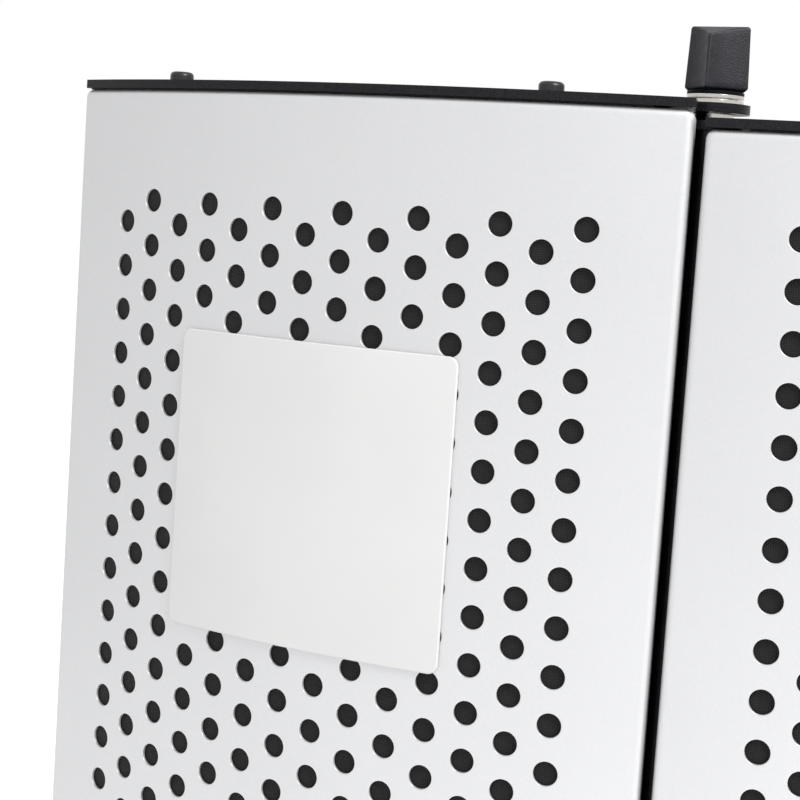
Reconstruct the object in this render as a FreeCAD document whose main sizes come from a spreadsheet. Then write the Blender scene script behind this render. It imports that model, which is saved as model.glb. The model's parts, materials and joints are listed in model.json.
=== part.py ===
import FreeCAD, Part
import Sketcher
import math
import os

# Folding microphone isolation shield: two curved, perforated wings that swing about one upright
# hinge post, carried by a slotted bar with a stand socket and a microphone post.
# Frame: +Z up, origin at the mouth of the stand thread, the perforated outside faces -Y and the
# performer stands on the +Y side. The badge wing is on -X and the plain wing on +X.

doc = FreeCAD.newDocument("IsolationShield")
sheet = doc.addObject("Spreadsheet::Sheet", "Dimensions")

DRIVING = {
    # wings
    "outer_radius": 375.0,        # perforated skin's outside, about the upright arc axis
    "wing_arc": 245.0,            # length of a wing along its outside
    "wing_gap": 3.4,              # gap between the wings at their outside
    "wing_turn": 7.0,             # each wing swung outwards from one common arc
    "arc_offset": 3.33,           # arc axis beside the hinge axis, before the turn
    "axis_depth": 27.0,           # hinge axis behind the outside
    "panel_depth": 29.0,          # end plates' depth
    "shell_height": 302.5,        # badge wing's shell
    "skin": 1.0,                  # sheet of the perforated shell
    "fold_radius": 3.0,
    "pan_depth": 14.0,            # depth of the folded edges
    "plate_thick": 3.0,           # end plates
    "lip_height": 0.5,            # locating lip under an end plate
    "lip_inset": 1.8,
    "plate_overhang": 0.3,
    "plate_corner": 2.5,
    "ear_radius": 11.4,
    "bevel_angle": 48.5,          # inner hinge corner, leaves room for each wing's swing
    # perforation
    "hole_pitch": 16.0,           # up and down a column
    "column_pitch": 14.1,         # along the arc
    "hole_diameter": 8.1,
    "hole_rows": 15,
    "hole_columns": 14,
    "plain_shift": 1.85,          # plain wing's holes further from the hinge
    "plain_lift": 1.5,            # and higher than the badge wing's
    # filling
    "cloth_thick": 1.0,
    "mat_thick": 22.0,
    "backing_thick": 1.0,
    "foam_thick": 18.0,
    "layer_gap": 0.15,
    "hinge_setback": 17.5,        # filling's start beside the hinge
    "tip_setback": 3.6,           # filling's end at the free edge
    "foam_inset": 2.0,            # foam's top and bottom inside the end plates' faces
    "rail_wall": 1.5,
    "rail_lip": 16.0,
    "rail_front": 68.0,           # hinge rail's ends, as angles about the hinge axis
    "rail_back": 1.0,
    # badge
    "badge_width": 110.0,
    "badge_height": 105.0,
    "badge_thick": 1.2,
    "badge_corner": 3.5,
    "badge_drop": 96.2,           # badge centre below the top row of holes
    "badge_shift": 1.9,           # badge centre towards the free edge
    "badge_bond": 0.1,
    # hinge
    "post_radius": 9.5,
    "hollow_radius": 12.0,        # room that both wings leave around the post and the ears
    "stud_radius": 3.0,
    "stud_clear": 0.06,
    "stud_grip": 20.0,
    "spacer_height": 2.8,
    "spacer_radius": 6.4,
    "disc_radius": 9.2,
    "disc_thick": 1.2,
    "wave_radius": 7.2,
    "wave_thick": 0.4,
    "friction_radius": 13.0,
    "friction_thick": 1.5,
    # plate screws
    "screw_arc": 75.0,            # from the wing's middle, along the outside
    "screw_depth": 8.3,
    "screw_head": 4.2,
    "screw_head_height": 3.4,
    "screw_shank": 2.0,
    "screw_hole": 2.2,
    "screw_length": 9.0,
    "clinch_radius": 3.8,
    "clinch_height": 4.0,
    # knobs
    "collar_radius": 9.2,
    "collar_height": 1.2,
    "knob_base": 10.6,
    "knob_top": 9.9,
    "knob_height": 20.8,
    "knob_round": 1.2,
    "knob_scoop": 26.0,           # radius of a grip's hollow
    "knob_waist": 6.7,            # from the knob's axis to the middle of a hollow
    "knob_turn": 34.5,            # heading of the first hollow
    "insert_radius": 5.0,
    "insert_height": 12.0,
    # mount
    "flange_height": 26.0,
    "flange_radius": 22.0,
    "flange_disc": 4.0,
    "socket_radius": 13.0,
    "adapter_radius": 7.9,
    "adapter_clear": 0.05,
    "thread_radius": 4.0,
    "adapter_length": 20.0,
    "flange_pcd": 33.0,
    "flange_screw": 2.0,
    "bar_thick": 4.0,
    "bar_width": 40.0,
    "stand_offset": 48.0,         # hinge axis behind the stand axis
    "bar_reach": 170.0,           # bar's front end
    "bar_corner": 8.0,
    "slot_width": 8.4,
    "slot_start": 58.0,
    "slot_end": 152.0,
    "post_place": 110.0,          # microphone post along the bar
    "pad_thick": 1.0,
    "mic_flange": 12.0,
    "mic_radius": 9.0,
    "mic_neck": 7.4,              # engaged thread under the lock ring, at its minor diameter
    "mic_height": 58.0,
    "mic_thread": 7.9375,
    "mic_thread_length": 15.0,
    "mic_guide": 4.1,
    "ring_radius": 11.0,
    "ring_height": 6.0,
    "cap_wall": 2.0,
    "cap_reach": 9.0,
}

for row, (alias, value) in enumerate(DRIVING.items(), start=1):
    sheet.set(f"A{row}", alias)
    sheet.set(f"B{row}", repr(value))
    sheet.setAlias(f"B{row}", alias)
doc.recompute()

D = "Dimensions."
# Heights of the stack, as expressions of the sheet
BAR_LOW = f"({D}flange_height)"
BAR_TOP = f"({BAR_LOW} + {D}bar_thick)"
STEP = f"({D}plate_thick + {D}spacer_height)"
BADGE_LOW = f"({BAR_TOP} + {D}friction_thick)"
BADGE_SHELL_LOW = f"({BADGE_LOW} + {D}plate_thick + {D}lip_height)"
BADGE_SHELL_TOP = f"({BADGE_SHELL_LOW} + {D}shell_height)"
BADGE_PLATE_TOP = f"({BADGE_SHELL_TOP} + {D}lip_height)"
PLAIN_LOW = f"({BADGE_LOW} + {STEP})"
PLAIN_SHELL_LOW = f"({BADGE_SHELL_LOW} + {STEP})"
PLAIN_SHELL_TOP = f"({BADGE_SHELL_TOP} - {STEP})"
PLAIN_PLATE_TOP = f"({PLAIN_SHELL_TOP} + {D}lip_height)"
TOP_ROW = f"({BADGE_SHELL_TOP} - ({D}shell_height - ({D}hole_rows - 1) * {D}hole_pitch) / 2)"
# Plan
HINGE_Y = f"(-{D}stand_offset)"
DEG = "180 / pi"
TURN = f"{D}wing_turn * 1deg"
ARC_REACH = f"({D}outer_radius - {D}axis_depth)"
ARC_X = f"({D}arc_offset * cos({TURN}) + {ARC_REACH} * sin({TURN}))"
ARC_Y = f"({ARC_REACH} * cos({TURN}) - {D}arc_offset * sin({TURN}) - {D}stand_offset)"
START = f"({D}wing_gap / 2 / {D}outer_radius * {DEG} - {D}wing_turn)"
SWEEP = f"({D}wing_arc / {D}outer_radius * {DEG})"
SKIN_R = f"({D}outer_radius - {D}skin)"
INNER_R = f"({D}outer_radius - {D}panel_depth)"


def size(alias):
    return float(sheet.get(alias))


def bind(obj, **cells):
    """Bind properties to expressions; a double underscore stands for a dot."""
    for name, expression in cells.items():
        obj.setExpression(name.replace("__", "."), str(expression))
    return obj


def place(obj, east=None, north=None, up=None, turn=None):
    cells = {"x": east, "y": north, "z": up}
    for axis, expression in cells.items():
        if expression is not None:
            obj.setExpression(f"Placement.Base.{axis}", str(expression))
    if turn is not None:
        obj.setExpression("Placement.Rotation.Angle", str(turn))
    return obj


# ---- Part primitives and booleans -------------------------------------------------------------

def cylinder(name, radius, height, east="0", north="0", up="0"):
    obj = doc.addObject("Part::Cylinder", name)
    bind(obj, Radius=radius, Height=height)
    return place(obj, east, north, up)


def box(name, length, width, height, east, north, up, turn=None):
    obj = doc.addObject("Part::Box", name)
    bind(obj, Length=length, Width=width, Height=height)
    return place(obj, east, north, up, turn)


def cut(name, base, *tools):
    tool = tools[0] if len(tools) == 1 else fuse(name + "_tools", *tools)
    obj = doc.addObject("Part::Cut", name)
    obj.Base = base
    obj.Tool = tool
    return obj


def fuse(name, *shapes):
    obj = doc.addObject("Part::MultiFuse", name)
    obj.Shapes = list(shapes)
    return obj


def group(name, *solids):
    """One node of separate solids, such as a set of identical fasteners."""
    obj = doc.addObject("Part::Compound", name)
    obj.Links = list(solids)
    return obj


def tube(name, outer, bore, height, east="0", north="0", up="0"):
    body = cylinder(name + "_outside", outer, height, east, north, up)
    hole = cylinder(name + "_bore", bore, height, east, north, up)
    return cut(name, body, hole)


def ring_sector(name, side, outer, inner, low, height, start, sweep):
    """Sector of a ring about the wings' arc axis.

    side is -1 for the badge wing and +1 for the plain wing; start is the sector's first heading
    from straight out, and sweep its angle, both towards the wing's free edge.
    """
    turn = f"-90 + {start}" if side > 0 else f"-90 - {start} - {sweep}"
    solids = []
    for which, radius in (("outside", outer), ("hollow", inner)):
        obj = cylinder(f"{name}_{which}", radius, height, f"({side} * {ARC_X})", ARC_Y, low)
        bind(obj, Angle=sweep)
        place(obj, turn=turn)
        solids.append(obj)
    return cut(name, *solids)


def arc_angle(length, radius=f"{D}outer_radius"):
    return f"({length} / {radius} * {DEG})"


def fillet(name, base, picks):
    """Part::Fillet; picks are (test of an edge, radius expression's value) pairs."""
    doc.recompute()
    obj = doc.addObject("Part::Fillet", name)
    obj.Base = base
    obj.Edges = [
        (number, radius, radius)
        for number, edge in enumerate(base.Shape.Edges, start=1)
        for test, radius in picks
        if test(edge)
    ]
    doc.recompute()
    return obj


def arc_centre():
    """East and north of the plain wing's arc axis; the badge wing's is its mirror image."""
    turn = math.radians(size("wing_turn"))
    reach, beside = size("outer_radius") - size("axis_depth"), size("arc_offset")
    east = beside * math.cos(turn) + reach * math.sin(turn)
    north = reach * math.cos(turn) - beside * math.sin(turn) - size("stand_offset")
    return east, north


def arc_offset(point):
    """Distance of a point on a wing from that wing's arc axis."""
    east, north = arc_centre()
    return math.hypot(abs(point.x) - east, point.y - north)


def on_radius(edge, radius):
    return all(abs(arc_offset(v.Point) - radius) < 0.01 for v in edge.Vertexes)


def is_upright(edge):
    first, last = edge.Vertexes[0].Point, edge.Vertexes[-1].Point
    return math.hypot(first.x - last.x, first.y - last.y) < 0.01


def is_level(edge):
    return abs(edge.Vertexes[0].Point.z - edge.Vertexes[-1].Point.z) < 0.01


# ---- PartDesign bodies ------------------------------------------------------------------------

def new_body(name):
    body = doc.addObject("PartDesign::Body", name)
    doc.recompute()
    return body


def origin_plane(body, role):
    return next(f for f in body.Origin.OriginFeatures if getattr(f, "Role", "") == role)


def new_sketch(body, name, role="XY_Plane", lift=None):
    sketch = body.newObject("Sketcher::SketchObject", name)
    sketch.AttachmentSupport = (origin_plane(body, role), "")
    sketch.MapMode = "FlatFace"
    if lift is not None:
        sketch.setExpression("AttachmentOffset.Base.z", lift)
    return sketch


def outline(sketch, corners):
    """Closed outline through (across, up) pairs of expressions, each corner fixed by the sheet."""
    points = [FreeCAD.Vector(10 * math.cos(i), 10 * math.sin(i), 0) for i in range(len(corners))]
    for number, point in enumerate(points):
        following = points[(number + 1) % len(points)]
        sketch.addGeometry(Part.LineSegment(point, following), False)
    for number in range(len(corners)):
        following = (number + 1) % len(corners)
        sketch.addConstraint(Sketcher.Constraint("Coincident", number, 2, following, 1))
    for number, (across, up) in enumerate(corners):
        for kind, expression, guess in (
            ("DistanceX", across, points[number].x),
            ("DistanceY", up, points[number].y),
        ):
            index = sketch.addConstraint(Sketcher.Constraint(kind, -1, 1, number, 1, guess))
            sketch.setExpression(f"Constraints[{index}]", str(expression))
    return sketch


def circles(sketch, *rings):
    """Circles, each (radius, across, up) as expressions of the sheet."""
    for number, (radius, across, up) in enumerate(rings):
        circle = Part.Circle(FreeCAD.Vector(number, number, 0), FreeCAD.Vector(0, 0, 1), 2.0)
        sketch.addGeometry(circle, False)
        for constraint, expression in (
            (("Radius", number, 2.0), radius),
            (("DistanceX", -1, 1, number, 3, float(number)), across),
            (("DistanceY", -1, 1, number, 3, float(number)), up),
        ):
            index = sketch.addConstraint(Sketcher.Constraint(*constraint))
            sketch.setExpression(f"Constraints[{index}]", str(expression))
    return sketch


def revolve(body, corners):
    """Turn a half section, (radius, height) pairs of expressions, about the body's upright axis."""
    sketch = outline(new_sketch(body, body.Name + "_section", "XZ_Plane"), corners)
    turned = body.newObject("PartDesign::Revolution", body.Name + "_turned")
    turned.Profile = sketch
    turned.ReferenceAxis = (sketch, ["V_Axis"])
    turned.Angle = 360.0
    doc.recompute()
    return turned


def pad(body, sketch, length):
    feature = body.newObject("PartDesign::Pad", sketch.Name + "_pad")
    feature.Profile = sketch
    bind(feature, Length=length)
    doc.recompute()
    return feature


def pocket(body, sketch, length=None, both=True):
    """Cut a sketch out of the body, both ways through unless a length is given."""
    before = body.Shape.Volume
    feature = body.newObject("PartDesign::Pocket", sketch.Name + "_pocket")
    feature.Profile = sketch
    feature.Midplane = both
    if length is None:
        feature.Type = "ThroughAll"
    else:
        bind(feature, Length=length)
    doc.recompute()
    if not body.Shape.Volume < before - 0.01:
        raise RuntimeError(f"{feature.Name} cuts nothing")
    return feature


# ---- Wings ------------------------------------------------------------------------------------

class Wing:
    """Names, side and heights of one wing."""

    def __init__(self, name, side, low, shell_low, shell_top, plate_top, shell_height, field):
        self.name = name
        self.side = side
        self.low = low
        self.shell_low = shell_low
        self.shell_top = shell_top
        self.plate_top = plate_top
        self.shell_height = shell_height
        self.field = field

    def part(self, piece):
        return f"{self.name}_{piece}"

    def sector(self, piece, outer, inner, low, height, start=START, sweep=SWEEP):
        name = self.part(piece)
        return ring_sector(name, self.side, outer, inner, low, height, start, sweep)

    def filling(self, piece, outer, thickness, low, height):
        """Layer between the rails, measured inwards from its outer radius."""
        start = f"({START} + {arc_angle(f'{D}hinge_setback')})"
        sweep = f"({SWEEP} - {arc_angle(f'({D}hinge_setback + {D}tip_setback)')})"
        return self.sector(piece, outer, f"({outer} - {thickness})", low, height, start, sweep)

    def hinge_room(self, piece, radius, low, height):
        return cylinder(self.part(piece), radius, height, "0", HINGE_Y, low)

    def bevel_tool(self, piece):
        """Wedge over the inner hinge corner, one face along the bevel through the hinge axis."""
        tall = f"({D}shell_height + 60)"
        low = f"({self.low} - 20)"
        along, across = 2 * size("panel_depth") + 2 * size("foam_thick"), 4 * size("panel_depth")
        if self.side > 0:
            return box(self.part(piece), along, across, tall, "0", HINGE_Y, low, f"{D}bevel_angle")
        turn = f"90 - {D}bevel_angle"
        return box(self.part(piece), across, along, tall, "0", HINGE_Y, low, turn)

    def screw_spots(self):
        """East and north of the plate screws, as expressions."""
        spots = []
        radius = f"({D}outer_radius - {D}screw_depth)"
        for sign in ("-", "+"):
            along = f"({START} + {SWEEP} / 2 {sign} {arc_angle(f'{D}screw_arc')}) * 1deg"
            east = f"({self.side} * ({ARC_X} + {radius} * sin({along})))"
            north = f"({ARC_Y} - {radius} * cos({along}))"
            spots.append((east, north))
        return spots


BADGE = Wing(
    "badge_wing", -1, BADGE_LOW, BADGE_SHELL_LOW, BADGE_SHELL_TOP, BADGE_PLATE_TOP,
    f"({D}shell_height)", (0.0, 0.0),
)
PLAIN = Wing(
    "plain_wing", 1, PLAIN_LOW, PLAIN_SHELL_LOW, PLAIN_SHELL_TOP, PLAIN_PLATE_TOP,
    f"({D}shell_height - 2 * {STEP})", (size("plain_shift"), size("plain_lift")),
)


PIN_LENGTH = 6.0


def perforation(wing):
    """Radial pins, one for each hole; the outermost column next to the hinge is a full one."""
    outer = size("outer_radius")
    axis_east, axis_north = arc_centre()
    shift, lift = wing.field
    top_row = lift + size("flange_height") + size("bar_thick") + size("friction_thick")
    top_row += size("plate_thick") + size("lip_height")
    top_row += (size("shell_height") + (size("hole_rows") - 1) * size("hole_pitch")) / 2
    columns = int(size("hole_columns"))
    first = shift + (size("wing_gap") + size("wing_arc") - (columns - 1) * size("column_pitch")) / 2
    start = math.radians(size("wing_turn"))
    pins = []
    for column in range(columns):
        angle = (first + column * size("column_pitch")) / outer - start
        outward = FreeCAD.Vector(wing.side * math.sin(angle), -math.cos(angle), 0)
        staggered = column % 2
        for row in range(int(size("hole_rows")) - staggered):
            up = top_row - (row + staggered / 2) * size("hole_pitch")
            axis = FreeCAD.Vector(wing.side * axis_east, axis_north, up)
            inner_end = axis + outward * (outer - PIN_LENGTH / 2)
            radius = size("hole_diameter") / 2
            pins.append(Part.makeCylinder(radius, PIN_LENGTH, inner_end, outward))
    obj = doc.addObject("Part::Feature", wing.part("perforation"))
    obj.Shape = Part.makeCompound(pins)
    return obj


def shell(wing):
    """Folded pan: block, rounded outside, hollowed from its inner face, then perforated."""
    block = wing.sector(
        "block", f"{D}outer_radius", f"({D}outer_radius - {D}pan_depth)",
        wing.shell_low, wing.shell_height,
    )
    doc.recompute()
    outer, fold = size("outer_radius"), size("fold_radius")

    def outer_fold(edge):
        return on_radius(edge, outer)

    def corner_fold(edge):
        ends = sorted(arc_offset(v.Point) for v in edge.Vertexes)
        return is_level(edge) and abs(ends[-1] - ends[0] - size("pan_depth")) < 0.01

    rounded = fillet(
        wing.part("rounded"), block, [(outer_fold, fold), (corner_fold, fold + size("skin"))]
    )
    inner = outer - size("pan_depth")
    faces = [
        f"Face{number}"
        for number, face in enumerate(rounded.Shape.Faces, start=1)
        if all(abs(arc_offset(v.Point) - inner) < 0.01 for v in face.Vertexes)
    ]
    pan = doc.addObject("Part::Thickness", wing.part("pan"))
    pan.Faces = (rounded, faces)
    pan.Value = -size("skin")
    doc.recompute()
    tall = f"({D}shell_height + 20)"
    holes = [
        cylinder(wing.part(f"shell_screw_hole_{n}"), f"{D}screw_hole", tall, x, y,
                 f"({wing.shell_low} - 10)")
        for n, (x, y) in enumerate(wing.screw_spots())
    ]
    return cut(wing.part("perforated_shell"), pan, perforation(wing), *holes)


def end_plate(wing, piece, plate_low, lip_low):
    """End plate: ring sector with a rounded tip, the hinge ear, a locating lip and its holes."""
    inner = INNER_R
    blank = ring_sector(
        wing.part(piece + "_blank"), wing.side, f"({D}outer_radius + 0.2)", inner,
        plate_low, f"{D}plate_thick", START, f"({SWEEP} + {arc_angle(f'{D}plate_overhang')})",
    )
    doc.recompute()
    tip = size("wing_arc") * 0.8

    def tip_corner(edge):
        return is_upright(edge) and abs(edge.Vertexes[0].Point.x) > tip

    rounded = fillet(
        wing.part(piece + "_rounded"), blank, [(tip_corner, size("plate_corner"))]
    )
    bevelled = cut(wing.part(piece + "_bevelled"), rounded, wing.bevel_tool(piece + "_bevel"))
    ear = wing.hinge_room(piece + "_ear", f"{D}ear_radius", plate_low, f"{D}plate_thick")
    setback = f"({D}hollow_radius + {D}rail_wall)"
    lip = ring_sector(
        wing.part(piece + "_lip"), wing.side, f"({D}outer_radius - {D}lip_inset)",
        f"({inner} + {D}lip_inset)", lip_low, f"{D}lip_height",
        f"({START} + {arc_angle(setback)})",
        f"({SWEEP} - {arc_angle(f'({setback} + {D}lip_inset)')})",
    )
    solid = fuse(wing.part(piece + "_solid"), bevelled, ear, lip)
    low = f"({plate_low} - 10)"
    holes = [
        cylinder(wing.part(f"{piece}_screw_hole_{n}"), f"{D}screw_hole", 25, x, y, low)
        for n, (x, y) in enumerate(wing.screw_spots())
    ]
    bore = wing.hinge_room(piece + "_stud_bore", f"({D}stud_radius + {D}stud_clear)", low, 25)
    return cut(wing.part(piece), solid, bore, *holes)


def hinge_rail(wing):
    """Channel hollowed around the hinge post, with a lip behind the backing plate."""
    low = f"({wing.shell_low} + {D}skin + 0.2)"
    tall = f"({wing.shell_height} - 2 * {D}skin - 0.4)"
    span = f"({D}rail_front + {D}rail_back)"
    turn = f"-{D}rail_front" if wing.side > 0 else f"180 - {D}rail_back"
    walls = []
    for which, radius in (
        ("outside", f"({D}hollow_radius + {D}rail_wall)"),
        ("hollow", f"{D}hollow_radius"),
    ):
        obj = wing.hinge_room(f"hinge_rail_{which}", radius, low, tall)
        bind(obj, Angle=span)
        place(obj, turn=turn)
        walls.append(obj)
    channel = cut(wing.part("hinge_rail_channel"), *walls)
    lip_inner = f"({INNER_R} + {D}backing_thick + 4 * {D}layer_gap)"
    lip = ring_sector(
        wing.part("hinge_rail_lip"), wing.side, f"({lip_inner} + {D}rail_wall)", lip_inner,
        low, tall, f"({START} + {arc_angle(f'({D}post_radius - 2)')})",
        arc_angle(f"{D}rail_lip"),
    )
    room = wing.hinge_room("hinge_rail_room", f"{D}hollow_radius", low, tall)
    return cut(wing.part("hinge_rail"), fuse(wing.part("hinge_rail_solid"), channel, lip), room)


def tip_rail(wing):
    """Angle at the free edge, between the end plates."""
    lip_inner = f"({INNER_R} + {D}backing_thick + 4 * {D}layer_gap)"
    low = f"({wing.shell_low} + {D}layer_gap)"
    tall = f"({wing.shell_height} - 2 * {D}layer_gap)"
    wall = arc_angle(f"{D}rail_wall")
    web = ring_sector(
        wing.part("tip_rail_web"), wing.side,
        f"({D}outer_radius - {D}pan_depth - {D}layer_gap)", lip_inner, low, tall,
        f"({START} + {SWEEP} - {wall})", wall,
    )
    lip = ring_sector(
        wing.part("tip_rail_lip"), wing.side, f"({lip_inner} + {D}rail_wall)", lip_inner,
        low, tall, f"({START} + {SWEEP} - {arc_angle(f'{D}rail_lip')})",
        arc_angle(f"{D}rail_lip"),
    )
    return fuse(wing.part("tip_rail"), web, lip)


def filling(wing):
    """Cloth and mat in the pan, the backing plate on the rails."""
    inside_low = f"({wing.shell_low} + {D}skin + {D}fold_radius)"
    inside_tall = f"({wing.shell_height} - 2 * {D}skin - 2 * {D}fold_radius)"
    cloth_outer = f"({SKIN_R} - {D}layer_gap)"
    cloth = wing.filling("acoustic_cloth", cloth_outer, f"{D}cloth_thick", inside_low, inside_tall)
    mat_outer = f"({cloth_outer} - {D}cloth_thick - {D}layer_gap)"
    mat = wing.filling(
        "fibre_mat", mat_outer, f"{D}mat_thick", f"({wing.shell_low} + {D}screw_length)",
        f"({wing.shell_height} - 2 * {D}screw_length)",
    )
    backing_outer = f"({INNER_R} + {D}backing_thick + 2 * {D}layer_gap)"
    backing = wing.filling(
        "backing_plate", backing_outer, f"{D}backing_thick",
        f"({wing.shell_low} + {D}layer_gap)", f"({wing.shell_height} - 2 * {D}layer_gap)",
    )
    return cloth, mat, backing


def foam_pad(wing):
    """Foam's outer shape; its hinge side is bevelled so that the wing can swing inwards."""
    outer = f"({INNER_R} - {D}layer_gap)"
    low = f"({wing.low} + {D}foam_inset)"
    tall = f"({wing.shell_height} + 2 * ({D}plate_thick + {D}lip_height - {D}foam_inset))"
    block = ring_sector(
        wing.part("foam_block"), wing.side, outer, f"({outer} - {D}foam_thick)", low, tall,
        START, SWEEP,
    )
    room = wing.hinge_room("foam_room", f"{D}hollow_radius", f"({low} - 10)", f"({tall} + 20)")
    return cut(wing.part("foam_pad"), block, wing.bevel_tool("foam_bevel"), room)


def plate_screws(wing):
    """Pan-head screws on both end plates and the clinch nuts under the shell's folds."""
    screws, nuts = [], []
    for number, (east, north) in enumerate(wing.screw_spots()):
        for end in ("top", "bottom"):
            up = end == "top"
            head_low = f"({wing.plate_top} + {D}plate_thick)" if up else (
                f"({wing.low} - {D}screw_head_height)"
            )
            shank_low = f"({wing.plate_top} + {D}plate_thick - {D}screw_length)" if up else (
                wing.low
            )
            nut_low = f"({wing.shell_top} - {D}skin - {D}clinch_height)" if up else (
                f"({wing.shell_low} + {D}skin)"
            )
            tag = wing.part(f"screw_{end}_{number}")
            head = cylinder(tag + "_head", f"{D}screw_head", f"{D}screw_head_height",
                            east, north, head_low)
            doc.recompute()
            rim = size("screw_head_height") * 0.45
            crown = head.Shape.BoundBox.ZMax if up else head.Shape.BoundBox.ZMin
            domed = fillet(tag + "_domed", head, [
                (lambda e, z=crown: len(e.Vertexes) == 1 and abs(e.Vertexes[0].Z - z) < 0.01, rim)
            ])
            shank = cylinder(tag + "_shank", f"{D}screw_shank", f"{D}screw_length",
                             east, north, shank_low)
            solid = fuse(tag + "_solid", domed, shank)
            slot_low = f"({head_low} + {D}screw_head_height - 1.5)" if up else head_low
            arms = [
                box(f"{tag}_cross_{n}", length, width, 1.5,
                    f"({east} - {length / 2})", f"({north} - {width / 2})", slot_low)
                for n, (length, width) in enumerate(((4.0, 0.9), (0.9, 4.0)))
            ]
            screws.append(cut(tag, solid, *arms))
            nuts.append(tube(wing.part(f"nut_{end}_{number}"), f"{D}clinch_radius",
                             f"({D}screw_shank + 0.05)", f"{D}clinch_height", east, north, nut_low))
    return group(wing.part("plate_screws"), *screws), group(wing.part("clinch_nuts"), *nuts)


def badge():
    """Blank curved plate with rounded corners, bonded to the badge wing's skin."""
    inner = f"({D}outer_radius + {D}badge_bond)"
    middle = f"({START} + {SWEEP} / 2 + {arc_angle(f'{D}badge_shift')})"
    width = arc_angle(f"{D}badge_width")
    low = f"({TOP_ROW} - {D}badge_drop - {D}badge_height / 2)"
    blank = ring_sector(
        "badge_blank", -1, f"({inner} + {D}badge_thick)", inner, low, f"{D}badge_height",
        f"({middle} - {width} / 2)", width,
    )
    doc.recompute()
    thick = size("badge_thick")

    def corner(edge):
        ends = sorted(arc_offset(v.Point) for v in edge.Vertexes)
        return is_level(edge) and abs(ends[-1] - ends[0] - thick) < 0.01

    rounded = fillet("badge_rounded", blank, [(corner, size("badge_corner"))])
    face = size("outer_radius") + size("badge_bond") + thick
    return fillet(
        "badge_plate", rounded, [(lambda edge: on_radius(edge, face), thick * 0.4)]
    )


# ---- Hinge ------------------------------------------------------------------------------------

UPPER_FACE = f"({BADGE_PLATE_TOP} + {D}plate_thick)"
WASHER_STACK = f"(2 * {D}disc_thick + {D}wave_thick)"
STUD_BORE = f"({D}stud_radius + {D}stud_clear)"


def knob(name, east, north, seat, upward=True):
    """Four-sided tapered grip on a round collar, with a hex nut moulded in from the seat."""

    def low_of(start, height):
        """Lower end of a piece that starts at a distance from the seat, away from it."""
        return f"({seat} + {start})" if upward else f"({seat} - {start} - {height})"

    collar = cylinder(name + "_collar", f"{D}collar_radius", f"{D}collar_height", east, north,
                      low_of("0", f"{D}collar_height"))
    grip = doc.addObject("Part::Cone", name + "_grip")
    wide, narrow = f"{D}knob_base", f"{D}knob_top"
    bind(grip, Radius1=wide if upward else narrow, Radius2=narrow if upward else wide,
         Height=f"{D}knob_height")
    place(grip, east, north, low_of(f"{D}collar_height", f"{D}knob_height"))
    doc.recompute()
    free_end = grip.Shape.BoundBox.ZMax if upward else grip.Shape.BoundBox.ZMin
    softened = fillet(name + "_softened", grip, [
        (lambda e: len(e.Vertexes) == 1 and abs(e.Vertexes[0].Z - free_end) < 0.01, size("knob_round"))
    ])
    scoops = []
    apart = f"({D}knob_scoop + {D}knob_waist)"
    for number in range(4):
        angle = math.radians(90 * number + size("knob_turn"))
        scoops.append(cylinder(
            f"{name}_scoop_{number}", f"{D}knob_scoop", f"({D}knob_height + 4)",
            f"({east} + {apart} * {math.cos(angle):.6f})",
            f"({north} + {apart} * {math.sin(angle):.6f})",
            low_of(f"({D}collar_height - 2)", f"({D}knob_height + 4)"),
        ))
    pocket_low = low_of("0", f"{D}insert_height")
    hollow = hexagon(name + "_hollow", east, north, pocket_low)
    grip_cut = cut(name + "_scooped", softened, *scoops)
    solid = cut(name, fuse(name + "_solid", grip_cut, collar), hollow)
    nut = hexagon(name + "_nut", east, north, pocket_low)
    bore = cylinder(name + "_nut_bore", STUD_BORE, f"{D}insert_height", east, north, pocket_low)
    return solid, cut(name + "_insert", nut, bore)


def hexagon(name, east, north, low):
    obj = doc.addObject("Part::Prism", name)
    obj.Polygon = 6
    bind(obj, Circumradius=f"{D}insert_radius", Height=f"{D}insert_height")
    return place(obj, east, north, low)


def washers(name, east, north, low):
    """Two bright discs with a thin wave washer between them."""
    upper = f"({low} + {D}disc_thick + {D}wave_thick)"
    discs = [
        tube(f"{name}_{n}", f"{D}disc_radius", STUD_BORE, f"{D}disc_thick", east, north, up)
        for n, up in enumerate((low, upper))
    ]
    wave = tube(name.replace("washers", "wave_washer"), f"{D}wave_radius", STUD_BORE,
                f"{D}wave_thick", east, north, f"({low} + {D}disc_thick)")
    return group(name, *discs), wave


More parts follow.
